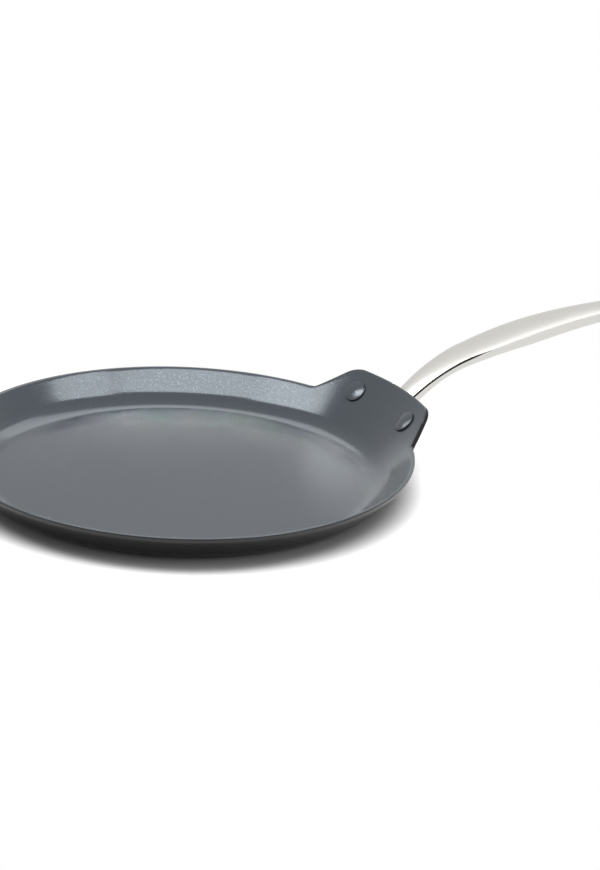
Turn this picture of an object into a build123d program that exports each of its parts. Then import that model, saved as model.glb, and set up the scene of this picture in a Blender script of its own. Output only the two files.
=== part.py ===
from build123d import *
from math import asin, atan2, cos, degrees, radians, sin, sqrt, tan
import os

# Crepe pan: a low, wide aluminium pan with a raised ear, and a hollow steel handle riveted behind the ear.
# Millimetres. The origin is the centre of the pan's underside, +Z is up and +X runs along the handle.

# Pan
rim_radius = 140.0
rim_height = 21.5
sheet_thickness = 3.0
lip_width = 2.1
lip_round = 0.6
wall_angle = 46.5
foot_corner_radius = 24.5

# Ear that carries the handle: the wall runs on past the rim
ear_rise = 22.0
ear_root_half_width = 57.5
ear_top_half_width = 41.5
ear_corner_radius = 15.0
ear_root_radius = 10.5
ear_root_run = 12.0

# Steel disc let into the underside, with rings of holes
disc_radius = 92.0
disc_thickness = 0.6
disc_fit = 0.1
disc_hole_radius = 3.0
disc_first_ring = 30.0
disc_ring_pitch = 17.0
disc_ring_count = 4
disc_holes_in_first_ring = 12
disc_holes_added_per_ring = 6

# Rivets
rivet_spread = 29.0
rivet_rise = 6.6
rivet_head_radius = 7.1
rivet_head_height = 2.1
rivet_head_edge = 0.5
rivet_shank_radius = 3.0
rivet_tail_radius = 5.2
rivet_tail_height = 1.8
rivet_fit = 0.06

# Bracket plate behind the ear, with its edges placed from the rivets
plate_thickness = 2.5
plate_fit = 0.04
plate_half_width = 38.5
plate_neck_half_width = 17.0
plate_rise = 8.5
plate_shoulder = 7.2
plate_foot = 8.5
plate_drop = 15.0
plate_corner_radius = 6.0

# Handle's seam line, in the upright plane through the pan's axis, with its mouth placed from the rim
mouth_reach = 17.0
mouth_rise = 9.2
neck_angle = 38.2
neck_straight = 5.4
bend_radius = 115.5
grip_start_angle = 15.8
grip_radius = 417.0
grip_length = 137.0

# Handle's section
grip_half_width = 12.6
grip_crown = 3.0
grip_belly = 11.3
seam_half_band = 0.4
shell_thickness = 1.2
end_corner_radius = 5.5
end_trim = 2.0

# Bracket's neck, and the tang that fills the hollow handle's mouth
neck_root_drop = 2.6
neck_root_half_width = 15.0
neck_root_crown = 1.5
neck_root_belly = 1.0
tang_length = 20.0
tang_fit = 0.1

# Hanging hole and the ferrule that lines it
hang_hole_radius = 4.0
ferrule_thickness = 1.0
ferrule_fit = 0.05
hang_hole_setback = 13.0

# How far a cutting body runs past what it cuts
overrun = 5.0

# How much of the lip's side its lower corner's slant takes up
lip_slant_share = 0.45

# Section sizes from the handle's mouth to its end, as shares of its length and of the grip's own sizes
station_shares = (0.0, 0.177, 0.345, 0.536, 0.803, 1.0)
half_width_shares = (0.595, 0.78, 0.965, 1.0, 0.777, 0.665)
belly_shares = (0.79, 0.70, 0.85, 1.0, 0.826, 0.657)
crown_control_share = 0.62
belly_control_share = 0.80
control_height_share = 0.75

# The neck from its root back at the plate to the handle's mouth, as shares of its length, flare and fullness
neck_station_shares = (1.0, 0.7, 0.35, 0.0)
neck_flare_shares = (1.0, 0.45, 0.12, 0.0)
neck_belly_shares = (0.0, 0.62, 0.92, 1.0)


def slope_point(rise, depth):
    """A point of the wall in the XZ plane: up the slope from the lip's inner corner, and into the sheet."""
    a = radians(wall_angle)
    x = rim_radius - lip_width + rise * cos(a) + depth * sin(a)
    z = rim_height + rise * sin(a) - depth * cos(a)
    return x, z


def slope_meets(depth, height):
    """Where the wall's face at this depth meets the level at this height."""
    x, z = slope_point(0, depth)
    return x - (z - height) / tan(radians(wall_angle)), height


def rounded(face, point, radius):
    """Rounds the corner of a flat face that lies at this point."""
    corner = face.vertices().sort_by_distance((point[0], point[1], 0))[0]
    return fillet(corner, radius)


def spun(face, turn=360):
    """Spins a section, drawn with X outwards and Y up, about the pan's axis."""
    return revolve(Plane.XZ * face, Axis.Z, turn)


def wall_band(rises, depths, turn):
    """A piece of cone along the wall between two rises and two depths, centred on the handle."""
    corners = [slope_point(rises[0], depths[0]), slope_point(rises[1], depths[0])]
    corners += [slope_point(rises[1], depths[1]), slope_point(rises[0], depths[1])]
    return Rot(Z=-turn / 2) * spun(make_face(Polyline(*corners, close=True)), turn)


def ear_plane():
    """The plane that touches the wall along the handle's line: X runs sideways and Y up the slope."""
    a = radians(wall_angle)
    x, z = slope_point(0, 0)
    return Plane(origin=(x, 0, z), x_dir=(0, -1, 0), z_dir=(-sin(a), 0, cos(a)))


def on_ear_plane(rise, side):
    """Where a point of the wall's inner face, this far to the side, falls on the ear's plane."""
    a = radians(wall_angle)
    x, z = slope_point(rise, 0)
    corner_x, corner_z = slope_point(0, 0)
    along = sqrt(x**2 - side**2) - corner_x
    return side, along * cos(a) + (z - corner_z) * sin(a)


def mirrored(points):
    """An outline from its right half, listed from the top down."""
    return list(points) + [(-x, y) for x, y in reversed(points)]


def tall_section():
    """The sheet from the pan's centre out along the floor and up the wall, past the top of the ear."""
    inner_foot = slope_meets(0, sheet_thickness)
    outer_foot = slope_meets(sheet_thickness, 0)
    top = ear_rise + overrun
    outline = [(0, 0), outer_foot, slope_point(top, sheet_thickness), slope_point(top, 0), inner_foot]
    face = make_face(Polyline(*outline, (0, sheet_thickness), close=True))
    face = rounded(face, outer_foot, foot_corner_radius)
    return rounded(face, inner_foot, foot_corner_radius - sheet_thickness)


def lip_slant():
    """Where the slant under the lip leaves its upright side, and a point on its line beyond the sheet."""
    wall_x, wall_z = slope_point(0, sheet_thickness)
    side = rim_height - wall_z - (rim_radius - wall_x) * tan(radians(wall_angle))
    start = rim_height - (1 - lip_slant_share) * side
    lean = radians(90 - wall_angle) / 2
    return (rim_radius, start), (rim_radius - 2 * side * sin(lean), start - 2 * side * cos(lean))


def rim_trim_section():
    """What is trimmed off around the rim: everything above the lip and outside its upright, slanted side."""
    inside = slope_meets(0, 0)[0]
    outside, top = slope_point(ear_rise + 2 * overrun, sheet_thickness)
    lip_corner = (rim_radius, rim_height)
    outline = [(inside, rim_height), lip_corner, *lip_slant(), (outside, 0), (outside, top), (inside, top)]
    return rounded(make_face(Polyline(*outline, close=True)), lip_corner, lip_round)


def ear_outline():
    top_corner = on_ear_plane(ear_rise, ear_top_half_width)
    root = on_ear_plane(0, ear_root_half_width)
    past_root = on_ear_plane(0, ear_root_half_width + ear_root_run)
    below = (past_root[0], past_root[1] - overrun)
    sides = Polyline(*mirrored([top_corner, root, past_root, below]))
    top = ThreePointArc(top_corner, (0, ear_rise), (-top_corner[0], top_corner[1]))
    face = make_face([*sides.edges(), top])
    for side in (1, -1):
        face = rounded(face, (side * root[0], root[1]), ear_root_radius)
        face = rounded(face, (side * top_corner[0], top_corner[1]), ear_corner_radius)
    return face


def ear_block():
    """A block through the sheet with the ear's outline."""
    half_width = ear_root_half_width + ear_root_run
    sag = rim_radius - sqrt(rim_radius**2 - half_width**2)
    return extrude(ear_plane() * ear_outline(), sag, both=True)


def rivet_places():
    """The two rivet axes, each leaving the wall's inner face towards the pan's inside."""
    a = radians(wall_angle)
    x, z = slope_point(rivet_rise, 0)
    aside = degrees(asin(rivet_spread / x))
    seat = Plane(origin=(x, 0, z), x_dir=(0, 1, 0), z_dir=(-sin(a), 0, cos(a)))
    return {"rivet_left": Rot(Z=aside) * seat.location, "rivet_right": Rot(Z=-aside) * seat.location}


def rivet_holes():
    depth = sheet_thickness + plate_thickness + overrun
    hole = Cylinder(rivet_shank_radius + rivet_fit, depth + overrun)
    return [place * Pos(Z=-(depth - overrun) / 2) * hole for place in rivet_places().values()]


def pan_body():
    """Floor, wall and lip from one sheet, with the ear, the rivet holes and the recess for the steel disc."""
    trim = spun(rim_trim_section()) - ear_block()
    recess = Cylinder(disc_radius + disc_fit, 2 * disc_thickness)
    return spun(tall_section()) - trim - recess - rivet_holes()


def induction_disc():
    holes = []
    for ring in range(disc_ring_count):
        count = disc_holes_in_first_ring + ring * disc_holes_added_per_ring
        hole = Cylinder(disc_hole_radius, 4 * disc_thickness)
        radius = disc_first_ring + ring * disc_ring_pitch
        holes += [Rot(Z=360 * i / count) * Pos(X=radius) * hole for i in range(count)]
    disc = Pos(Z=disc_thickness / 2) * Cylinder(disc_radius, disc_thickness)
    return disc - holes


def round_bend(x, z, angle, radius, length):
    """Follows a downward bend for this length and gives its end and slope."""
    end = angle - degrees(length / radius)
    x += radius * (sin(radians(angle)) - sin(radians(end)))
    z += radius * (cos(radians(end)) - cos(radians(angle)))
    return x, z, end


def bend_length():
    return radians(neck_angle - grip_start_angle) * bend_radius


def handle_length():
    return neck_straight + bend_length() + grip_length


def mouth_point():
    return rim_radius + mouth_reach, rim_height + mouth_rise


def handle_line(distance):
    """Place and slope of the seam line, this far from the mouth: straight, then a bend, then the grip."""
    mouth_x, mouth_z = mouth_point()
    straight = min(distance, neck_straight)
    bend = min(max(distance - neck_straight, 0), bend_length())
    grip = max(distance - neck_straight - bend_length(), 0)
    x = mouth_x + straight * cos(radians(neck_angle))
    z = mouth_z + straight * sin(radians(neck_angle))
    x, z, angle = round_bend(x, z, neck_angle, bend_radius, bend)
    return round_bend(x, z, angle, grip_radius, grip)


def upright_plane(x, z, angle):
    """A plane square to a line that passes this point at this slope: X runs sideways and Y up."""
    a = radians(angle)
    return Plane(origin=(x, 0, z), x_dir=(0, 1, 0), z_dir=(cos(a), 0, sin(a)))


def handle_section(half_width, crown, belly):
    """Crowned above the seam, full and deep below it, with a narrow upright band along the seam."""
    band = seam_half_band
    edges = [Line((half_width, band), (half_width, -band)), Line((-half_width, -band), (-half_width, band))]
    sizes = ((crown, crown_control_share, 1), (belly, belly_control_share, -1))
    for height, control_share, up in sizes:
        control = band + (height - band) / control_height_share
        edges.append(
            Bezier(
                (-half_width, up * band),
                (-half_width * control_share, up * control),
                (half_width * control_share, up * control),
                (half_width, up * band),
            )
        )
    return make_face(edges)


def handle_form(inset):
    """The handle's outer form, or a smaller one inside it by the inset."""
    sections = []
    for station, width, belly in zip(station_shares, half_width_shares, belly_shares):
        half_width = grip_half_width * width - inset
        depth = grip_belly * belly - inset
        plane = upright_plane(*handle_line(station * handle_length()))
        sections.append(plane * handle_section(half_width, grip_crown - inset, depth))
    return loft(sections) - end_rounding(inset)


def end_x():
    return handle_line(handle_length())[0] - end_trim


def end_half_width():
    """Half the handle's width where its rounded end starts, between the last two stations."""
    start_share = 1 - (end_trim + end_corner_radius) / handle_length()
    span = (start_share - station_shares[-2]) / (station_shares[-1] - station_shares[-2])
    return grip_half_width * (half_width_shares[-2] * (1 - span) + half_width_shares[-1] * span)


def end_rounding(inset):
    """What the rounded end leaves off, seen from above."""
    corner = end_corner_radius - inset
    width = 2 * (end_half_width() - inset)
    length = 3 * end_corner_radius
    reach = end_corner_radius + end_trim + overrun
    block = Rectangle(reach, 2 * grip_half_width, align=(Align.MIN, Align.CENTER))
    kept = RectangleRounded(length, width, corner)
    block = Pos(X=end_x() - end_corner_radius) * block - Pos(X=end_x() - inset - length / 2) * kept
    return Pos(Z=handle_line(handle_length())[1]) * extrude(block, 2 * grip_belly, both=True)


def below_seam():
    """Everything below the seam line, across the handle's whole width."""
    stops = (-overrun, neck_straight, neck_straight + bend_length(), handle_length() + overrun)
    points = [handle_line(stop)[:2] for stop in stops]
    middles = [handle_line((a + b) / 2)[:2] for a, b in zip(stops[1:], stops[2:])]
    line = [Line(points[0], points[1])]
    line += [ThreePointArc(a, middle, b) for a, middle, b in zip(points[1:], middles, points[2:])]
    floor = [(points[-1][0], 0), (points[0][0], 0)]
    line.append(Polyline(points[-1], *floor, points[0]))
    edges = [edge for piece in line for edge in piece.edges()]
    return extrude(Plane.XZ * make_face(edges), grip_half_width + overrun, both=True)


def hang_hole(radius):
    """A round bar upright through the handle near its end."""
    x = end_x() - hang_hole_setback
    return Pos(X=x) * extrude(Circle(radius), 2 * handle_line(handle_length())[1])


def handle_shells():
    """The two pressed halves that meet along the seam line."""
    hollow = handle_form(0) - handle_form(shell_thickness)
    hollow -= hang_hole(hang_hole_radius + ferrule_thickness + ferrule_fit)
    low = below_seam()
    return {"handle_top_shell": hollow - low, "handle_bottom_shell": hollow & low}


def hang_ferrule():
    ring = hang_hole(hang_hole_radius + ferrule_thickness) - hang_hole(hang_hole_radius)
    return ring & handle_form(0)


def behind_sheet(near, far):
    """A piece of cone between two depths behind the sheet, wide and tall enough for the plate."""
    rises = (rivet_rise - plate_drop - overrun, rivet_rise + plate_rise + overrun)
    face = sheet_thickness + plate_fit
    turn = 2 * degrees(asin(2 * plate_half_width / rim_radius))
    return wall_band(rises, (face + near, face + far), turn)


def bracket_plate():
    """A saddle plate against the outside of the ear and wall, shorter on its two lobes than between them."""
    half = [
        (plate_neck_half_width, rivet_rise + plate_rise),
        (plate_half_width, rivet_rise + plate_shoulder),
        (plate_half_width, rivet_rise - plate_foot),
        (plate_neck_half_width, rivet_rise - plate_drop),
    ]
    face = make_face(Polyline(*mirrored(half), close=True))
    face = fillet(face.vertices(), plate_corner_radius)
    return behind_sheet(0, plate_thickness) & extrude(ear_plane() * face, plate_drop + plate_rise, both=True)


def neck_plane(share):
    """A section plane of the neck, from the handle's mouth at 0 back to its root inside the plate at 1."""
    mouth_x, mouth_z = mouth_point()
    root_x, root_z = slope_point(-neck_root_drop, sheet_thickness + plate_fit + plate_thickness / 2)
    root_angle = degrees(atan2(mouth_z - root_z, mouth_x - root_x))
    x = mouth_x + (root_x - mouth_x) * share
    z = mouth_z + (root_z - mouth_z) * share
    return upright_plane(x, z, neck_angle + (root_angle - neck_angle) * share)


def bracket_neck():
    """A heel that swells from the plate to the handle's mouth."""
    mouth_half_width = grip_half_width * half_width_shares[0]
    mouth_belly = grip_belly * belly_shares[0]
    sections = []
    for station, flare, fullness in zip(neck_station_shares, neck_flare_shares, neck_belly_shares):
        half_width = mouth_half_width + (neck_root_half_width - mouth_half_width) * flare
        crown = neck_root_crown + (grip_crown - neck_root_crown) * fullness
        belly = neck_root_belly + (mouth_belly - neck_root_belly) * fullness
        sections.append(neck_plane(station) * handle_section(half_width, crown, belly))
    return loft(sections) - behind_sheet(-neck_root_half_width, 0)


def bracket_tang():
    end = upright_plane(*handle_line(tang_length)) * Rectangle(4 * grip_half_width, 4 * grip_half_width)
    return handle_form(shell_thickness + tang_fit) & extrude(end, -2 * tang_length)


def handle_bracket():
    return bracket_plate() + bracket_neck() + bracket_tang() - rivet_holes()


def dome(radius, edge, height, base, up):
    """A rivet end's outline: a low cap on a short upright edge, from its rim to the axis."""
    cap = height - edge
    ball = (radius**2 + cap**2) / (2 * cap)
    half = asin(radius / ball) / 2
    rim = (radius, base + up * edge)
    middle = (ball * sin(half), base + up * (height - ball + ball * cos(half)))
    return [Line((radius, base), rim), ThreePointArc(rim, middle, (0, base + up * height))]


def rivet():
    """Head on the pan's inside, shank through sheet and plate, and a spread tail outside."""
    grip = sheet_thickness + plate_fit + plate_thickness
    head = dome(rivet_head_radius, rivet_head_edge, rivet_head_height, 0, 1)
    tail = dome(rivet_tail_radius, rivet_head_edge, rivet_tail_height, -grip, -1)
    shank_line = [(rivet_shank_radius, 0), (rivet_shank_radius, -grip)]
    shank = Polyline((rivet_head_radius, 0), *shank_line, (rivet_tail_radius, -grip))
    axis = Line((0, rivet_head_height), (0, -grip - rivet_tail_height))
    return spun(make_face([*head, *shank.edges(), *tail, axis]))


def rivets(body, bracket):
    """Each rivet closes down on the curved sheet, so its head and tail follow it."""
    return {name: place * rivet() - body - bracket for name, place in rivet_places().items()}


body = pan_body()
bracket = handle_bracket()
pieces = {"pan_body": body, "induction_disc": induction_disc(), "handle_bracket": bracket}
pieces |= handle_shells()
pieces["hang_ferrule"] = hang_ferrule()
pieces |= rivets(body, bracket)

os.makedirs("parts", exist_ok=True)
for name, piece in pieces.items():
    export_step(piece, f"parts/{name}.step")
    print(name, round(piece.volume), "mm3")
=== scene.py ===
import bmesh
import bpy
from math import asin, atan2, cos, hypot, pi, radians, sin, sqrt, tan
from mathutils import Matrix, Vector


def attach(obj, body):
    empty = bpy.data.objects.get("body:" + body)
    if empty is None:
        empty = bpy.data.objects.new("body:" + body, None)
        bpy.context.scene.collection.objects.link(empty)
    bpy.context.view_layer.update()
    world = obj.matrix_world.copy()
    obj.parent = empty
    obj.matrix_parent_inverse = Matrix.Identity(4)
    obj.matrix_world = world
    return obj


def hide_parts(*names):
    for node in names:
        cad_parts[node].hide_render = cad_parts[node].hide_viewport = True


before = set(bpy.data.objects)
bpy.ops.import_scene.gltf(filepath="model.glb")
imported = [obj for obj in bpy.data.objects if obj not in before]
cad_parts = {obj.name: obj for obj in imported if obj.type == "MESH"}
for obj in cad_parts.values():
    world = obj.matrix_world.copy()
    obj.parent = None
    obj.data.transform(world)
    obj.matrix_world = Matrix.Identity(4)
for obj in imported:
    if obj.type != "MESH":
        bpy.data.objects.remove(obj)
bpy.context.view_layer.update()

# Shapes are worked out in millimetres, and toMetres brings them to the frame's metres.
mm = 0.001
sameSpot = 0.0005                               # points closer together than this are merged


def toMetres(bm):
    bmesh.ops.scale(bm, vec=(mm, mm, mm), verts=bm.verts)


def merge(bm):
    bmesh.ops.remove_doubles(bm, verts=bm.verts, dist=sameSpot)


def wire(bm, points):
    verts = [bm.verts.new(point) for point in points]
    for a, b in zip(verts, verts[1:]):
        bm.edges.new((a, b))
    return verts


def roundVerts(bm, verts, length, segments):
    bmesh.ops.bevel(bm, geom=verts, offset=length, offset_type="OFFSET", segments=segments,
                    profile=0.5, affect="VERTICES", material=-1)


def roundCorner(bm, x, y, z, length, segments):
    place = Vector((x, y, z))
    corner = min(bm.verts, key=lambda vert: (vert.co - place).length)
    roundVerts(bm, [corner], length, segments)


def fullTurn(bm, steps):                        # an eighth is spun, and then repeated round the axis
    parts = 8
    upright = {"cent": (0, 0, 0), "axis": (0, 0, 1), "dvec": (0, 0, 0)}
    bmesh.ops.spin(bm, geom=bm.verts[:] + bm.edges[:], angle=2 * pi / parts, steps=steps // parts, **upright)
    bmesh.ops.spin(bm, geom=bm.verts[:] + bm.edges[:] + bm.faces[:], angle=2 * pi * (parts - 1) / parts,
                   steps=parts - 1, use_duplicate=True, **upright)
    merge(bm)


def eased(share):                               # 0 to 1 with a soft start and end
    share = min(max(share, 0), 1)
    return share * share * (3 - 2 * share)


def ballRadius(half, rise):                     # of the ball that a shallow arc or dome is cut from
    return (half * half + rise * rise) / (2 * rise)


def addObject(name, bm):
    mesh = bpy.data.meshes.new(name)
    bm.to_mesh(mesh)
    bm.free()
    added = bpy.data.objects.new(name, mesh)
    bpy.context.scene.collection.objects.link(added)
    return added


def makePiece(name, bm, materials, nodes, smoothAngle):
    bmesh.ops.recalc_face_normals(bm, faces=bm.faces)
    toMetres(bm)
    piece = addObject(name, bm)
    for material in materials:
        piece.data.materials.append(material)
    piece.data.shade_smooth()
    piece.data.set_sharp_from_angle(angle=radians(smoothAngle))
    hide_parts(*nodes)
    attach(piece, "root")
    print(name, "has", len(piece.data.polygons), "faces")
    return piece


# Finishes. A Value wraps one socket, so that patterns are written as sums.


class Value:
    def __init__(self, finish, socket):
        self.finish = finish
        self.socket = socket

    def worked(self, operation, first, second):
        return self.finish.node("ShaderNodeMath", {"operation": operation}, {0: first, 1: second})

    def __add__(self, other):
        return self.worked("ADD", self, other)

    def __sub__(self, other):
        return self.worked("SUBTRACT", self, other)

    def __rsub__(self, other):
        return self.worked("SUBTRACT", other, self)

    def __mul__(self, other):
        return self.worked("MULTIPLY", self, other)

    __radd__ = __add__
    __rmul__ = __mul__

    def between(self, low, high):               # 0 below low, 1 above high, smooth between
        settings = {"interpolation_type": "SMOOTHSTEP", "clamp": True}
        values = {"Value": self, "From Min": low, "From Max": high}
        return self.finish.node("ShaderNodeMapRange", settings, values)


class Finish:                                   # a material, or the world
    def __init__(self, name, store=bpy.data.materials):
        self.owner = store.new(name)
        self.owner.use_nodes = True
        self.tree = self.owner.node_tree
        self.tree.nodes.clear()

    def node(self, kind, settings=None, values=None, output=0):
        made = self.tree.nodes.new(kind)
        for key, value in (settings or {}).items():
            setattr(made, key, value)
        for key, value in (values or {}).items():
            if isinstance(value, Value):
                self.tree.links.new(value.socket, made.inputs[key])
            else:
                made.inputs[key].default_value = value
        return Value(self, made.outputs[output]) if len(made.outputs) else None

    def place(self, scale=(1, 1, 1)):
        spot = self.node("ShaderNodeTexCoord", output="Object")
        return self.node("ShaderNodeMapping", {}, {"Vector": spot, "Scale": scale})

    def distance(self, vector):                 # from the origin
        return self.node("ShaderNodeVectorMath", {"operation": "LENGTH"}, {0: vector}, output="Value")

    def noise(self, vector, scale, detail=2.0, roughness=0.5):
        values = {"Vector": vector, "Scale": scale, "Detail": detail, "Roughness": roughness}
        return self.node("ShaderNodeTexNoise", {}, values)

    def mix(self, factor, first, second):
        settings = {"data_type": "RGBA", "blend_type": "MIX", "clamp_factor": True}
        return self.node("ShaderNodeMix", settings, {0: factor, 6: first, 7: second}, output=2)

    def bump(self, height, distance):
        return self.node("ShaderNodeBump", {}, {"Height": height, "Distance": distance})

    def end(self, shader, kind="ShaderNodeOutputMaterial"):
        self.node(kind, {}, {"Surface": shader})
        return self.owner

    def surface(self, **values):
        names = {key.replace("_", " "): value for key, value in values.items()}
        return self.end(self.node("ShaderNodeBsdfPrincipled", {}, names))


def plain(red, green, blue, share=1.0):         # a picture's colour, from 0 to 255, as linear light
    def linear(value):
        value /= 255
        return value / 12.92 if value <= 0.04045 else ((value + 0.055) / 1.055) ** 2.4
    return [linear(value) * share for value in (red, green, blue)] + [1.0]


coatLook = {
    "ground": (46, 51, 56), "fleck": (96, 100, 105), "fleckShare": 0.2, "flecksPerMetre": 3400,
    "peelPerMetre": 1500, "peelHeight": 0.000008,
    "fleckHeight": 0.4,                         # as a share of the peel's
    "roughness": 0.13, "roughnessSpread": 0.06, "cloudsPerMetre": 9,
    "refraction": 1.6, "tint": (0.84, 0.93, 1.0, 1.0),
}


def coatInside():                               # dark, with metal flecks and a fine peel
    look = coatLook
    finish = Finish("insideCoating")
    spot = finish.place()
    cells = {"Vector": spot, "Scale": look["flecksPerMetre"]}
    shade = finish.node("ShaderNodeTexVoronoi", {}, cells, output="Color")
    fleck = finish.node("ShaderNodeSeparateColor", {}, {"Color": shade}).between(1 - look["fleckShare"], 1.0)
    peel = finish.noise(spot, look["peelPerMetre"])
    cloud = finish.noise(spot, look["cloudsPerMetre"], 3)
    return finish.surface(Base_Color=finish.mix(fleck, plain(*look["ground"]), plain(*look["fleck"])),
                          Metallic=fleck,
                          Roughness=look["roughness"] + (cloud - 0.5) * look["roughnessSpread"],
                          IOR=look["refraction"], Specular_Tint=look["tint"],
                          Normal=finish.bump(peel + fleck * look["fleckHeight"], look["peelHeight"]))


outsideLook = {
    "dark": (8, 8, 9), "light": (12, 12, 13), "cloudsPerMetre": 14, "specular": 0.36,
    "grainPerMetre": 900, "grainHeight": 0.00001, "roughness": 0.2, "roughnessSpread": 0.12,
}


def coatOutside():
    look = outsideLook
    finish = Finish("outsideCoating")
    spot = finish.place()
    grain = finish.noise(spot, look["grainPerMetre"], 3)
    cloud = finish.noise(spot, look["cloudsPerMetre"])
    return finish.surface(Base_Color=finish.mix(cloud, plain(*look["dark"]), plain(*look["light"])),
                          Roughness=look["roughness"] + (grain - 0.5) * look["roughnessSpread"],
                          Specular_IOR_Level=look["specular"],
                          Normal=finish.bump(grain, look["grainHeight"]))


# the trimmed edge, which is matt and almost black and also serves as painted shadow on the rivets' straight
# sides, and painted shade for the shells' seam, where no light gets in
edgeAndRivetShadowLook = {
    "dark": (14, 14, 15), "light": (24, 24, 26), "grainPerMetre": 1200,
    "roughness": 0.5, "roughnessSpread": 0.1, "specular": 0.15,
}
paintedSeamShadeLook = {
    "dark": (30, 30, 30), "light": (48, 47, 45), "grainPerMetre": 900,
    "roughness": 0.6, "roughnessSpread": 0.1, "specular": 0.1,
}


def matt(name, look):
    finish = Finish(name)
    grain = finish.noise(finish.place(), look["grainPerMetre"])
    return finish.surface(Base_Color=finish.mix(grain, plain(*look["dark"]), plain(*look["light"])),
                          Roughness=look["roughness"] + grain * look["roughnessSpread"],
                          Specular_IOR_Level=look["specular"])


brushedLook = {
    "colour": (224, 223, 218), "strokeShade": 0.93, "strokesPerMetre": 2600, "strokeHeight": 0.000012,
    "handleStretch": (0.02, 1, 1), "bracketStretch": (1, 0.03, 1), "bracketShade": 0.8,
    "roughness": 0.42, "strokeSpread": 0.14, "cloudSpread": 0.08, "cloudsPerMetre": 30,
}
turnedLook = {
    "dark": (158, 157, 153), "light": (196, 195, 190), "strokesPerMetre": 2400, "strokeHeight": 0.00002,
    "roughness": 0.28, "strokeSpread": 0.2, "cloudSpread": 0.1, "cloudsPerMetre": 20,
}


def metal(finish, look, strokes, dark, light):  # the strokes change the colour, the gloss and the height
    cloud = finish.noise(finish.place(), look["cloudsPerMetre"], 3)
    rough = look["roughness"] + (strokes - 0.5) * look["strokeSpread"] + (cloud - 0.5) * look["cloudSpread"]
    return finish.surface(Base_Color=finish.mix(strokes, dark, light), Metallic=1.0, Roughness=rough,
                          Normal=finish.bump(strokes, look["strokeHeight"]))


def brushedSteel(name, stretch, share=1.0):     # the strokes run along the axis with the small stretch
    look = brushedLook
    finish = Finish(name)
    strokes = finish.noise(finish.place(stretch), look["strokesPerMetre"], 4, 0.65)
    darkColour = [channel * look["strokeShade"] for channel in look["colour"]]
    return metal(finish, look, strokes, plain(*darkColour, share), plain(*look["colour"], share))


def turnedSteel():                              # fine rings, as a lathe leaves them
    look = turnedLook
    finish = Finish("turnedSteel")
    ring = finish.distance(finish.place((1, 1, 0)))
    line = finish.node("ShaderNodeCombineXYZ", {}, {"X": ring})
    strokes = finish.noise(line, look["strokesPerMetre"], 3, 0.6)
    return metal(finish, look, strokes, plain(*look["dark"]), plain(*look["light"]))


insideCoating = coatInside()
outsideCoating = coatOutside()
handleSteel = brushedSteel("brushedHandle", brushedLook["handleStretch"])
bracketSteel = brushedSteel("brushedBracket", brushedLook["bracketStretch"], brushedLook["bracketShade"])
discSteel = turnedSteel()
# the almost black finish is the ear's trimmed edge, and painted shadow on the rivets' straight sides
edgeAndRivetShadow = matt("cutEdge", edgeAndRivetShadowLook)
# the seam's finish is painted shade
paintedSeamShade = matt("seamShade", paintedSeamShadeLook)
print("finishes ready")

# Pan: the same sizes as the part, with the edges rounded as a press and the coating leave them.
pan = {
    "rimRadius": 140.0, "rimHeight": 21.5, "sheet": 3.0, "wallAngle": 46.5, "footRadius": 24.5,
    "recessRadius": 92.1, "recessDepth": 0.6,
    "lipWidth": 2.1, "lipRound": 0.6, "innerEdge": 0.9,
    "slantShare": 0.45, "slantReach": 1.05, "slantRound": 0.35,     # the slant under the lip's outer edge
    "earRise": 22.0, "earTopHalf": 41.5, "earCornerRadius": 15.0,
    "earRootHalf": 57.5, "earRootRadius": 10.5, "earRootRun": 12.0,
    "stretchFrom": -13.0,                       # the ear's rise is spread over the wall from here to the lip
    "squareFrom": 1.5,                          # an ear this high has the sheet's square edge, and no lip
    "outerSide": 2.3, "outerShift": 0.6,        # deeper points then move out by this share of what is left
    "cornerZone": 1.6, "cornerKeep": 0.35,      # and keep this share of their distance close to the lip
    "steps": 720, "floorCutAt": 60.0, "longEdge": 10.0, "wallFrom": 100, "wallCuts": 9, "floorCuts": 5,
    "smoothAngle": 50,
}
wallTurn = radians(pan["wallAngle"])
lipInside = pan["rimRadius"] - pan["lipWidth"]


def slopePoint(rise, depth):                    # up the wall from the lip's inside, and under its inner face
    x = lipInside + rise * cos(wallTurn) + depth * sin(wallTurn)
    return x, pan["rimHeight"] + rise * sin(wallTurn) - depth * cos(wallTurn)


def slopePlace(x, z):                           # the rise and depth of a point
    out, up = x - lipInside, z - pan["rimHeight"]
    return out * cos(wallTurn) + up * sin(wallTurn), out * sin(wallTurn) - up * cos(wallTurn)


def slopeMeets(depth, height):
    x, z = slopePoint(0, depth)
    return x - (z - height) / tan(wallTurn), height


def earPlaneHeight(rise, side):
    x = lipInside + rise * cos(wallTurn)
    return (sqrt(x * x - side * side) - lipInside) * cos(wallTurn) + rise * sin(wallTurn) ** 2


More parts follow.
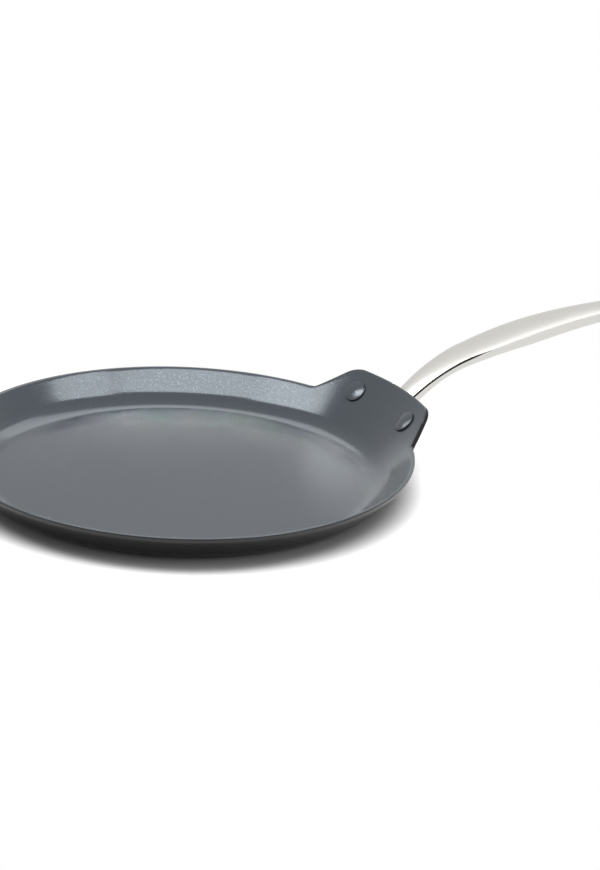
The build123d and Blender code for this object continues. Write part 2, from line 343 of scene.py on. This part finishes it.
def earOutline():                               # half of the ear's edge in its own plane, from its middle
    arcStep, arcGap, segments = 3, 1, 10
    top = pan["earTopHalf"], earPlaneHeight(pan["earRise"], pan["earTopHalf"])
    root = pan["earRootHalf"], earPlaneHeight(0, pan["earRootHalf"])
    run = pan["earRootHalf"] + pan["earRootRun"]
    ball = ballRadius(top[0], pan["earRise"] - top[1])
    places = range(0, int(top[0]) - arcStep, arcStep)
    arc = [(x, pan["earRise"] - ball + sqrt(ball * ball - x * x)) for x in places]

    def cornerLength(before, corner, after, radius):
        before, corner, after = Vector(before), Vector(corner), Vector(after)
        return radius / tan((before - corner).angle(after - corner) / 2)
    end = (run, earPlaneHeight(0, run))
    topLength = cornerLength(arc[-1], top, root, pan["earCornerRadius"])
    rootLength = cornerLength(top, root, end, pan["earRootRadius"])
    arc = [point for point in arc if top[0] - point[0] >= topLength + arcGap]
    bm = bmesh.new()
    wire(bm, [(x, y, 0) for x, y in arc + [top, root, end]])
    roundCorner(bm, *top, 0, topLength, segments)
    roundCorner(bm, *root, 0, rootLength, segments)
    points = sorted((vert.co.x, vert.co.y) for vert in bm.verts)
    bm.free()
    return points


def alongLine(points, x):
    for (x0, y0), (x1, y1) in zip(points, points[1:]):
        if x <= x1:
            return y0 + (y1 - y0) * (x - x0) / max(x1 - x0, 1e-9)
    return None


outline = earOutline()


def earHeight(turn):                            # how far the wall runs up past the lip at this angle
    rounds = 12
    rise = 0.0
    for _ in range(rounds):
        side = (lipInside + rise * cos(wallTurn)) * abs(sin(turn))
        height = alongLine(outline, side)
        if height is None:
            return 0.0
        bulge = lipInside * (1 - cos(turn)) * cos(wallTurn)
        rise = max((height + bulge) / (cos(wallTurn) ** 2 * cos(turn) + sin(wallTurn) ** 2), 0.0)
    return rise


def panProfile(bm):
    rim, top, sheet, recess = pan["rimRadius"], pan["rimHeight"], pan["sheet"], pan["recessRadius"]
    outerX, outerZ = slopePoint(0, sheet)
    side = top - outerZ - (rim - outerX) * tan(wallTurn)
    slant = side * pan["slantShare"]
    under = top - side
    reach = pan["slantReach"]
    slantEnd = (rim - slant * cos(wallTurn) * reach, under - slant * sin(wallTurn) * reach)
    half = tan(wallTurn / 2)
    # from the underside's middle round the lip to the floor's middle: place, length of rounding, segments
    corners = [
        (0, pan["recessDepth"], 0, 0),
        (recess, pan["recessDepth"], 0, 0),
        (recess, 0, 0, 0),
        (*slopeMeets(sheet, 0), pan["footRadius"] * half, 16),
        (*slopePoint(pan["stretchFrom"], sheet), 0, 0),
        (*slantEnd, pan["slantRound"], 2),
        (rim, under + slant, pan["slantRound"], 2),
        (rim, top, pan["lipRound"], 4),
        (lipInside, top, pan["innerEdge"], 4),
        (*slopePoint(pan["stretchFrom"], 0), 0, 0),
        (*slopeMeets(0, sheet), (pan["footRadius"] - sheet) * half, 20),
        (pan["floorCutAt"], sheet, 0, 0),
        (0, sheet, 0, 0),
    ]
    wire(bm, [(x, 0, z) for x, z, *rounding in corners])
    for x, z, length, segments in corners:
        if length > 0:
            roundCorner(bm, x, 0, z, length, segments)

    def cutLongEdges(wanted, cuts):
        edges = [edge for edge in bm.edges if edge.calc_length() > pan["longEdge"]]
        edges = [edge for edge in edges if all(wanted(vert.co) for vert in edge.verts)]
        bmesh.ops.subdivide_edges(bm, edges=edges, cuts=cuts)
    cutLongEdges(lambda place: place.x > pan["wallFrom"], pan["wallCuts"])
    cutLongEdges(lambda place: place.z > sheet / 2, pan["floorCuts"])


def earPoint(rise, depth, ear):                 # where a point of the wall or lip goes, for an ear this high
    square = eased(ear / pan["squareFrom"])
    outside = depth > pan["outerSide"]
    squared = min(rise, 0)
    if outside:
        squared = squared * pan["cornerKeep"] if rise > -pan["cornerZone"] else rise
    thick = depth + (pan["sheet"] - depth) * pan["outerShift"] if outside else depth
    stretch = min(1 - rise / pan["stretchFrom"], 1)
    return rise + (squared - rise) * square + ear * stretch, depth + (thick - depth) * square


def raiseEar(bm):
    above, margin = 0.5, 0.01                   # millimetres over the wall's face, and radians
    reach = asin((pan["earRootHalf"] + pan["earRootRun"]) / lipInside) + margin
    heights = {}
    for vert in bm.verts:
        x, y, z = vert.co
        r = hypot(x, y)
        turn = asin(max(-1, min(1, y / r))) if r > pan["wallFrom"] and x > 0 else pi
        if abs(turn) > reach:
            continue
        rise, depth = slopePlace(r, z)
        if rise < pan["stretchFrom"] or depth < -above:
            continue
        key = round(turn, 5)
        if key not in heights:
            heights[key] = earHeight(turn)
        r, z = slopePoint(*earPoint(rise, depth, heights[key]))
        vert.co = (r * cos(turn), r * sin(turn), z)


def makePan():
    inside, outside, cut = range(3)
    cosSixty = 0.5                              # a face turned by up to sixty degrees still faces that way
    bm = bmesh.new()
    panProfile(bm)
    fullTurn(bm, pan["steps"])
    raiseEar(bm)
    bmesh.ops.recalc_face_normals(bm, faces=bm.faces)
    for face in bm.faces:
        centre = face.calc_center_median()
        r = hypot(centre.x, centre.y)
        rise, depth = slopePlace(r, centre.z)
        wallFacing = Vector((-centre.x / r * sin(wallTurn), -centre.y / r * sin(wallTurn), cos(wallTurn)))
        onEar = rise > pan["cornerZone"]
        isCut = onEar and abs(face.normal.dot(wallFacing)) < cosSixty
        isInside = face.normal.z > cosSixty or onEar and depth < pan["sheet"] / 2
        face.material_index = cut if isCut else inside if isInside else outside
    makePiece("panBody", bm, [insideCoating, outsideCoating, edgeAndRivetShadow], ["pan_body"],
              pan["smoothAngle"])


makePan()

# Rivets: head on the inside, shank, and the spread tail behind the bracket's plate.
rivet = {
    "spread": 29.0, "rise": 6.6, "headRadius": 7.1, "headHeight": 2.1, "headEdge": 1.15, "headRound": 0.5,
    "headSink": 0.35, "shankRadius": 3.0, "grip": 5.54, "tailRadius": 5.2, "tailHeight": 1.8,
    "tailSink": 0.3, "domeSteps": 12, "steps": 96, "smoothAngle": 50,
}


def dome(radius, height):                       # half of a shallow dome on the rivet's straight edge
    ball = ballRadius(radius, height - rivet["headEdge"])
    places = [radius * i / rivet["domeSteps"] for i in range(rivet["domeSteps"])]
    return [(x, height - ball + sqrt(ball * ball - x * x)) for x in places]


def makeRivet(name, node, side):
    domed, straight, steel = range(3)
    roundSegments, sideGap, steelTop = 5, 0.08, -1
    head, shank, tail = rivet["headRadius"], rivet["shankRadius"], rivet["tailRadius"]
    edge, grip = rivet["headEdge"], rivet["grip"]
    under, seat = -rivet["headSink"], rivet["tailSink"] - grip
    points = dome(head, rivet["headHeight"])
    points += [(head, edge), (head, under), (shank, under), (shank, seat)]
    points += [(tail, seat), (tail, -grip - edge)]
    points += [(x, -grip - z) for x, z in reversed(dome(tail, rivet["tailHeight"]))]
    bm = bmesh.new()
    wire(bm, [(x, 0, z) for x, z in points])
    roundCorner(bm, head, 0, edge, rivet["headRound"], roundSegments)
    fullTurn(bm, rivet["steps"])
    # the head's straight side takes the almost black finish as painted shadow round the head
    for face in bm.faces:
        spot = face.calc_center_median()
        isStraight = hypot(spot.x, spot.y) > head - sideGap
        face.material_index = steel if spot.z < steelTop else straight if isStraight else domed
    x, z = slopePoint(rivet["rise"], 0)
    aside = Matrix.Rotation(side * asin(rivet["spread"] / x), 4, "Z")
    place = aside @ Matrix.Translation((x, 0, z)) @ Matrix.Rotation(-wallTurn, 4, "Y")
    bmesh.ops.transform(bm, matrix=place, verts=bm.verts)
    materials = [insideCoating, edgeAndRivetShadow, bracketSteel]
    makePiece(name, bm, materials, [node], rivet["smoothAngle"])


makeRivet("rivetLeft", "rivet_left", 1)
makeRivet("rivetRight", "rivet_right", -1)

# Handle: two pressed shells along one seam line, which runs straight, bends and then follows the grip.
handle = {
    "mouth": (157.0, 30.7), "neckAngle": 38.2, "neckStraight": 5.4, "bendRadius": 115.5, "gripAngle": 15.8,
    "gripRadius": 417.0, "gripLength": 137.0, "halfWidth": 12.6, "crown": 3.0, "belly": 11.3, "band": 0.4,
    "shell": 1.2, "endRadius": 5.5, "endTrim": 2.0, "holeSetback": 13.0, "holeRadius": 5.05,
    "stations": (0.0, 0.177, 0.345, 0.536, 0.803, 1.0),
    "widths": (0.595, 0.78, 0.965, 1.0, 0.777, 0.665),
    "bellies": (0.79, 0.70, 0.85, 1.0, 0.826, 0.657),
    "crownControl": 0.5, "bellyControl": 0.80, "controlHeight": 0.75,
    "seamNear": 0.6, "seamFar": 0.05, "seamFades": (46.0, 64.0),
    # where the edge turns in: shares of the seam's depth inwards and up, and the least of both
    "seamTurn": ((0.0, 1.3, 0.0, 0.08), (0.5, 0.8, 0.01, 0.05), (1.0, 0.0, 0.02, 0.02)),
    "sections": 150, "endSections": 14, "outerPoints": 33, "innerPoints": 13, "smoothAngle": 38,
}
bendLength = radians(handle["neckAngle"] - handle["gripAngle"]) * handle["bendRadius"]
handleLength = handle["neckStraight"] + bendLength + handle["gripLength"]


def roundBend(x, z, angle, radius, length):
    end = angle - length / radius
    return x + radius * (sin(angle) - sin(end)), z + radius * (cos(end) - cos(angle)), end


def seamLine(distance):
    angle = radians(handle["neckAngle"])
    straight = min(distance, handle["neckStraight"])
    bend = min(max(distance - handle["neckStraight"], 0), bendLength)
    grip = max(distance - handle["neckStraight"] - bendLength, 0)
    x, z = handle["mouth"][0] + straight * cos(angle), handle["mouth"][1] + straight * sin(angle)
    x, z, angle = roundBend(x, z, angle, handle["bendRadius"], bend)
    return roundBend(x, z, angle, handle["gripRadius"], grip)


def smoothShare(values, share):                 # a smooth line through the shares at the stations
    stops = handle["stations"]
    slopes = []
    for i in range(len(stops)):
        low, high = max(i - 1, 0), min(i + 1, len(stops) - 1)
        slopes.append((values[high] - values[low]) / (stops[high] - stops[low]))
    for i in range(len(stops) - 1):
        if share <= stops[i + 1] or i == len(stops) - 2:
            span = stops[i + 1] - stops[i]
            t = (share - stops[i]) / span
            a, b = 2 * t ** 3 - 3 * t ** 2 + 1, t ** 3 - 2 * t ** 2 + t
            c, d = -2 * t ** 3 + 3 * t ** 2, t ** 3 - t ** 2
            return a * values[i] + b * span * slopes[i] + c * values[i + 1] + d * span * slopes[i + 1]


endX = seamLine(handleLength)[0] - handle["endTrim"]
holeX = endX - handle["holeSetback"]


def endNarrowing(x, halfWidth):                 # the end is round at its corners, seen from above
    past = x - (endX - handle["endRadius"])
    if past <= 0:
        return halfWidth
    past = min(past, handle["endRadius"])
    return halfWidth - handle["endRadius"] + sqrt(handle["endRadius"] ** 2 - past ** 2)


def halfSection(halfWidth, height, control, up, seam, count):
    leastStep = 0.05                            # from the seam's turned edge up to where the curve starts
    turned = []
    for inShare, upShare, leastIn, leastUp in handle["seamTurn"]:
        turned.append((halfWidth - seam * inShare - leastIn, up * max(seam * upShare, leastUp)))
    side = max(handle["band"], abs(turned[0][1]) + leastStep)
    lift = (height - side) / handle["controlHeight"]
    points = []
    for i in range(count):
        t = 0.5 - 0.5 * cos(pi * i / (count - 1))
        a, b, c, d = (1 - t) ** 3, 3 * (1 - t) ** 2 * t, 3 * (1 - t) * t ** 2, t ** 3
        y = halfWidth * (-a - b * control + c * control + d)
        points.append((y, up * (side * (a + d) + (side + lift) * (b + c))))
    return [(-y, z) for y, z in reversed(turned)] + points + turned


def sectionStops(wallStart):                    # closer together at the round end, with a step at its wall
    freeEnd, wallStep, nearby = 0.4, 0.03, 0.04
    count, endCount = handle["sections"], handle["endSections"]
    stops = [handleLength * i / count for i in range(count)]
    stops = [stop for stop in stops if seamLine(stop)[0] < endX - handle["endRadius"] - freeEnd]
    last = stops[-1]
    left = handleLength - handle["endTrim"] - last
    stops += [last + left * sin(pi / 2 * i / endCount) for i in range(1, endCount)]
    stops = [stop for stop in stops if abs(stop - wallStart) > nearby]
    return sorted(stops + [wallStart, wallStart + wallStep])


def makeShell(name, node, up):
    # the groove along the seam is shaped, and its second slot is painted shade, out to where the seam fades
    # along the handle
    steel, dark = range(2)
    leastWidth, leastHeight, wallGap, paintedShadeUntil = 1, 0.5, 0.02, 0.98
    height = handle["crown"] if up > 0 else handle["belly"]
    control = handle["crownControl"] if up > 0 else handle["bellyControl"]
    near, far = handle["seamFades"]
    seamStep = handle["seamFar"] - handle["seamNear"]
    turned = len(handle["seamTurn"])
    thin = handle["shell"]
    wallStart = handleLength - handle["endTrim"] - thin
    bm = bmesh.new()
    loops, paintedShadeVerts = [], set()
    for stop in sectionStops(wallStart):
        x, z, angle = seamLine(stop)
        share = stop / handleLength
        width = endNarrowing(x, handle["halfWidth"] * smoothShare(handle["widths"], share))
        full = height * (smoothShare(handle["bellies"], share) if up < 0 else 1)
        fade = (stop - near) / (far - near)
        seam = handle["seamNear"] + seamStep * eased(fade)
        outer = halfSection(width, full, control, up, seam, handle["outerPoints"])
        inner = halfSection(max(width - thin, leastWidth), max(full - thin, leastHeight), control, up, 0.0,
                            handle["innerPoints"])
        if stop > wallStart:                    # the end is closed by a wall as thick as the shell
            inner = [(y, up * wallGap) for y, _ in inner]
        points = [(x - out * sin(angle), y, z + out * cos(angle)) for y, out in outer + inner[::-1]]
        loop = [bm.verts.new(point) for point in points]
        loops.append(loop)
        # the turned-in points at the seam carry the painted shade
        if fade < paintedShadeUntil:
            paintedShadeVerts.update(loop[:turned] + loop[len(outer) - turned:len(outer)])
    edges = [[bm.edges.new(pair) for pair in zip(loop, loop[1:] + loop[:1])] for loop in loops]
    for a, b in zip(edges, edges[1:]):
        bmesh.ops.bridge_loops(bm, edges=a + b)
    bm.faces.new(loops[0])
    bm.faces.new(loops[-1])
    for face in bm.faces:
        isPaintedShade = len(face.verts) == 4 and all(vert in paintedShadeVerts for vert in face.verts)
        face.material_index = dark if isPaintedShade else steel
    merge(bm)
    return makePiece(name, bm, [handleSteel, paintedSeamShade], [node], handle["smoothAngle"])


def drillHole(piece):                           # the hanging hole, upright through the shell
    radius, segments, length, height = handle["holeRadius"], 96, 60, 68
    bm = bmesh.new()
    bmesh.ops.create_cone(bm, cap_ends=True, segments=segments, radius1=radius, radius2=radius, depth=length,
                          matrix=Matrix.Translation((holeX, 0, height)))
    toMetres(bm)
    drill = addObject("drill", bm)
    cut = piece.modifiers.new("hole", "BOOLEAN")
    cut.object = drill
    cut.operation = "DIFFERENCE"
    cut.solver = "EXACT"
    graph = bpy.context.evaluated_depsgraph_get()
    drilled = bpy.data.meshes.new_from_object(piece.evaluated_get(graph))
    piece.modifiers.clear()
    whole = piece.data
    piece.data = drilled
    bpy.data.meshes.remove(whole)
    bpy.data.objects.remove(drill)


drillHole(makeShell("handleTop", "handle_top_shell", 1))
drillHole(makeShell("handleBelly", "handle_bottom_shell", -1))

# Ferrule: a short tube with softly turned lips.
ferrule = {
    "inside": 4.0, "outside": 5.0, "low": 62.1, "high": 73.05, "lip": 0.35, "lipSegments": 4,
    "steps": 96, "smoothAngle": 50,
}


def makeFerrule():
    bm = bmesh.new()
    corners = [("inside", "low"), ("inside", "high"), ("outside", "high"), ("outside", "low")]
    verts = wire(bm, [(ferrule[radius], 0, ferrule[height]) for radius, height in corners])
    bm.edges.new((verts[-1], verts[0]))
    roundVerts(bm, verts, ferrule["lip"], ferrule["lipSegments"])
    fullTurn(bm, ferrule["steps"])
    bmesh.ops.translate(bm, vec=(holeX, 0, 0), verts=bm.verts)
    makePiece("ferrule", bm, [handleSteel], ["hang_ferrule"], ferrule["smoothAngle"])


makeFerrule()

# Bracket: the part's own shape, with its edges merged and shaded smooth.
bracket = {"smoothAngle": 32}


def makeBracket():
    bm = bmesh.new()
    bm.from_mesh(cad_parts["handle_bracket"].data)
    bmesh.ops.scale(bm, vec=(1 / mm, 1 / mm, 1 / mm), verts=bm.verts)
    merge(bm)
    makePiece("neckBracket", bm, [bracketSteel], ["handle_bracket"], bracket["smoothAngle"])


makeBracket()
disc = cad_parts["induction_disc"]
disc.data.materials.clear()
disc.data.materials.append(discSteel)
print("pieces ready")

# Studio: a white floor that keeps the shadow, with painted shadow in its colour close to the pan, a pale
# world and soft boxes.
panOnly = ("panBody",)
studio = {
    "middle": (0, 0, 0.02), "world": 0.79,
    # the floor's grey close to the pan is painted shadow, which fades to white across its reach
    "floorSize": 14, "floorHeight": -0.0003, "paintedShadowGrey": 0.27, "farShade": 0.96,
    "paintedShadowReach": (0.122, 0.154), "shadowReach": (0.15, 0.2),
    # a box's spot is right, away and height from the middle, as the viewer sees them
    # boxes with a turn hang level and face down, and the others face their aim
    "boxes": {
        "frontTopBox": {"spot": (0, -0.42, 1.2), "size": (1.46, 0.42), "brightness": 5.5, "turn": 0},
        "leftBox": {"spot": (-0.9, -0.09, 1.2), "size": (0.84, 0.46), "brightness": 6.2, "turn": -22},
        "rightBox": {"spot": (0.94, -0.06, 1.2), "size": (0.84, 0.46), "brightness": 5.0, "turn": 20},
        "farRightBox": {"spot": (1.47, 0.13, 1.2), "size": (0.34, 0.46), "brightness": 3.0, "turn": 30},
        "nearRightBox": {"spot": (1.3, -1.15, 1.0), "size": (0.9, 0.9), "brightness": 4.0,
                         "aim": (0, 0, 0.02)},
        # small boxes that light one rivet or the handle alone
        "leftRivetBox": {"spot": (-0.55, 0.06, 0.7), "size": (0.24, 0.44), "brightness": 2.4,
                         "aim": (0.15, -0.02, 0.02), "only": ("rivetLeft",)},
        "rightRivetBox": {"spot": (-0.58, 0.34, 0.58), "size": (0.24, 0.44), "brightness": 3.5,
                          "aim": (0.15, -0.02, 0.02), "only": ("rivetRight",)},
        "handleBox": {"spot": (0.6, 0.22, 1.1), "size": (0.6, 0.95), "brightness": 0.85, "turn": 0,
                      "only": ("handleTop", "handleBelly")},
        # low strips behind the rim without a shadow, which give the floor its glow at the back
        "backLow": {"spot": (0.2, 0.42, 0.06), "size": (0.5, 0.12), "brightness": 0.66,
                    "aim": (0.2, 0, 0.06), "only": panOnly, "shadow": False},
        "backLowLeft": {"spot": (-0.25, 0.42, 0.06), "size": (0.4, 0.12), "brightness": 0.5,
                        "aim": (-0.25, 0, 0.06), "only": panOnly, "shadow": False},
        "backHigh": {"spot": (0.2, 0.42, 0.18), "size": (0.3, 0.2), "brightness": 0.04,
                     "aim": (0.2, 0, 0.18), "only": panOnly, "shadow": False},
        "backGlow": {"spot": (0, 0.15, -0.0075), "size": (0.1, 0.024), "brightness": 1.65,
                     "aim": (0, 0, -0.0075), "only": panOnly, "shadow": False},
        "backGlowLeft": {"spot": (-0.1, 0.111, -0.0075), "size": (0.12, 0.024), "brightness": 1.5,
                         "aim": (0, 0, -0.0075), "only": panOnly, "shadow": False},
        "backGlowRight": {"spot": (0.1, 0.111, -0.0075), "size": (0.12, 0.024), "brightness": 1.7,
                          "aim": (0, 0, -0.0075), "only": panOnly, "shadow": False},
        # a high strip at the back, which ends the dark band where the floor begins to curve
        "footGlow": {"spot": (0.05, 0.68, 0.55), "size": (0.44, 0.24), "brightness": 1.7,
                     "aim": (0, 0.115, -0.017), "only": panOnly},
        # a small strip without a shadow at the ear
        "earGlow": {"spot": (0.108, 0.16, 0.033), "size": (0.066, 0.045), "brightness": 0.55,
                    "aim": (0.108, 0, 0.033), "only": panOnly, "shadow": False},
    },
}


def floorMaterial():                            # painted shadow in grey close to the pan, then white, and glowing further out
    finish = Finish("studioFloor")
    reach = finish.distance(finish.place())
    # painted shadow: the floor's colour darkens towards the pan
    shade = finish.mix(reach.between(*studio["paintedShadowReach"]), [studio["paintedShadowGrey"]] * 3 + [1],
                       [studio["farShade"]] * 3 + [1])
    lit = finish.node("ShaderNodeBsdfDiffuse", {}, {"Color": shade})
    glow = finish.node("ShaderNodeEmission", {}, {"Color": (1, 1, 1, 1), "Strength": 1.0})
    mask = reach.between(*studio["shadowReach"])
    return finish.end(finish.node("ShaderNodeMixShader", {}, {0: mask, 1: lit, 2: glow}))


def makeFloor():
    bm = bmesh.new()
    bmesh.ops.create_grid(bm, x_segments=1, y_segments=1, size=studio["floorSize"] / 2)
    plane = addObject("studioFloor", bm)
    plane.data.materials.append(floorMaterial())
    plane.location = (0, 0, studio["floorHeight"])


makeFloor()

# The camera was fitted to the rim, the ear and the rivets in the photo.
view = {
    "place": (-0.81194, -1.46213, 0.67993), "ahead": (0.48666, 0.79546, -0.36117), "roll": 0.05268,
    "lens": 124.1, "sensor": 36, "clipEnd": 50,
}
ahead = Vector(view["ahead"]).normalized()
flatRight = ahead.cross(Vector((0, 0, 1))).normalized()
upright = flatRight.cross(ahead)
right = flatRight * cos(view["roll"]) + upright * sin(view["roll"])
top = upright * cos(view["roll"]) - flatRight * sin(view["roll"])
optics = bpy.data.cameras.new("photoCamera")
optics.sensor_fit = "VERTICAL"
optics.sensor_height = view["sensor"]
optics.sensor_width = view["sensor"]
optics.lens = view["lens"]
optics.clip_end = view["clipEnd"]
camera = bpy.data.objects.new("photoCamera", optics)
camera.matrix_world = Matrix.Translation(view["place"]) @ Matrix((right, top, -ahead)).transposed().to_4x4()
bpy.context.scene.collection.objects.link(camera)
bpy.context.scene.camera = camera
flatAhead = Vector((ahead.x, ahead.y, 0)).normalized()


def studioPoint(sideways, away, height):        # a place as the photo's viewer sees it: right, away, up
    return Vector(studio["middle"]) + flatRight * sideways + flatAhead * away + Vector((0, 0, height))


def addBox(name, box):
    width, depth = box["size"]
    casts = box.get("shadow", True)
    lamp = bpy.data.lights.new(name, "AREA")
    lamp.shape = "RECTANGLE"
    lamp.size = width
    lamp.size_y = depth
    lamp.energy = box["brightness"] * width * depth * pi    # as bright to the eye at any size
    lamp.use_shadow = casts
    lamp.cycles.use_multiple_importance_sampling = casts
    holder = bpy.data.objects.new(name, lamp)
    holder.location = studioPoint(*box["spot"])
    if "aim" in box:
        aim = studioPoint(*box["aim"]) - holder.location
        holder.rotation_euler = aim.to_track_quat("-Z", "Y").to_euler()
    else:
        holder.rotation_euler = (0, 0, atan2(flatRight.y, flatRight.x) + radians(box["turn"]))
    holder.visible_camera = False
    if "only" in box:
        lit = bpy.data.collections.new(name + "Lights")
        for pieceName in box["only"]:
            lit.objects.link(bpy.data.objects[pieceName])
        holder.light_linking.receiver_collection = lit
    bpy.context.scene.collection.objects.link(holder)


for boxName, box in studio["boxes"].items():
    addBox(boxName, box)

world = Finish("studioWorld", bpy.data.worlds)
pale = world.node("ShaderNodeBackground", {}, {"Color": (1, 1, 1, 1), "Strength": studio["world"]})
bpy.context.scene.world = world.end(pale, "ShaderNodeOutputWorld")
bpy.context.scene.view_settings.view_transform = "Standard"
print("studio ready")
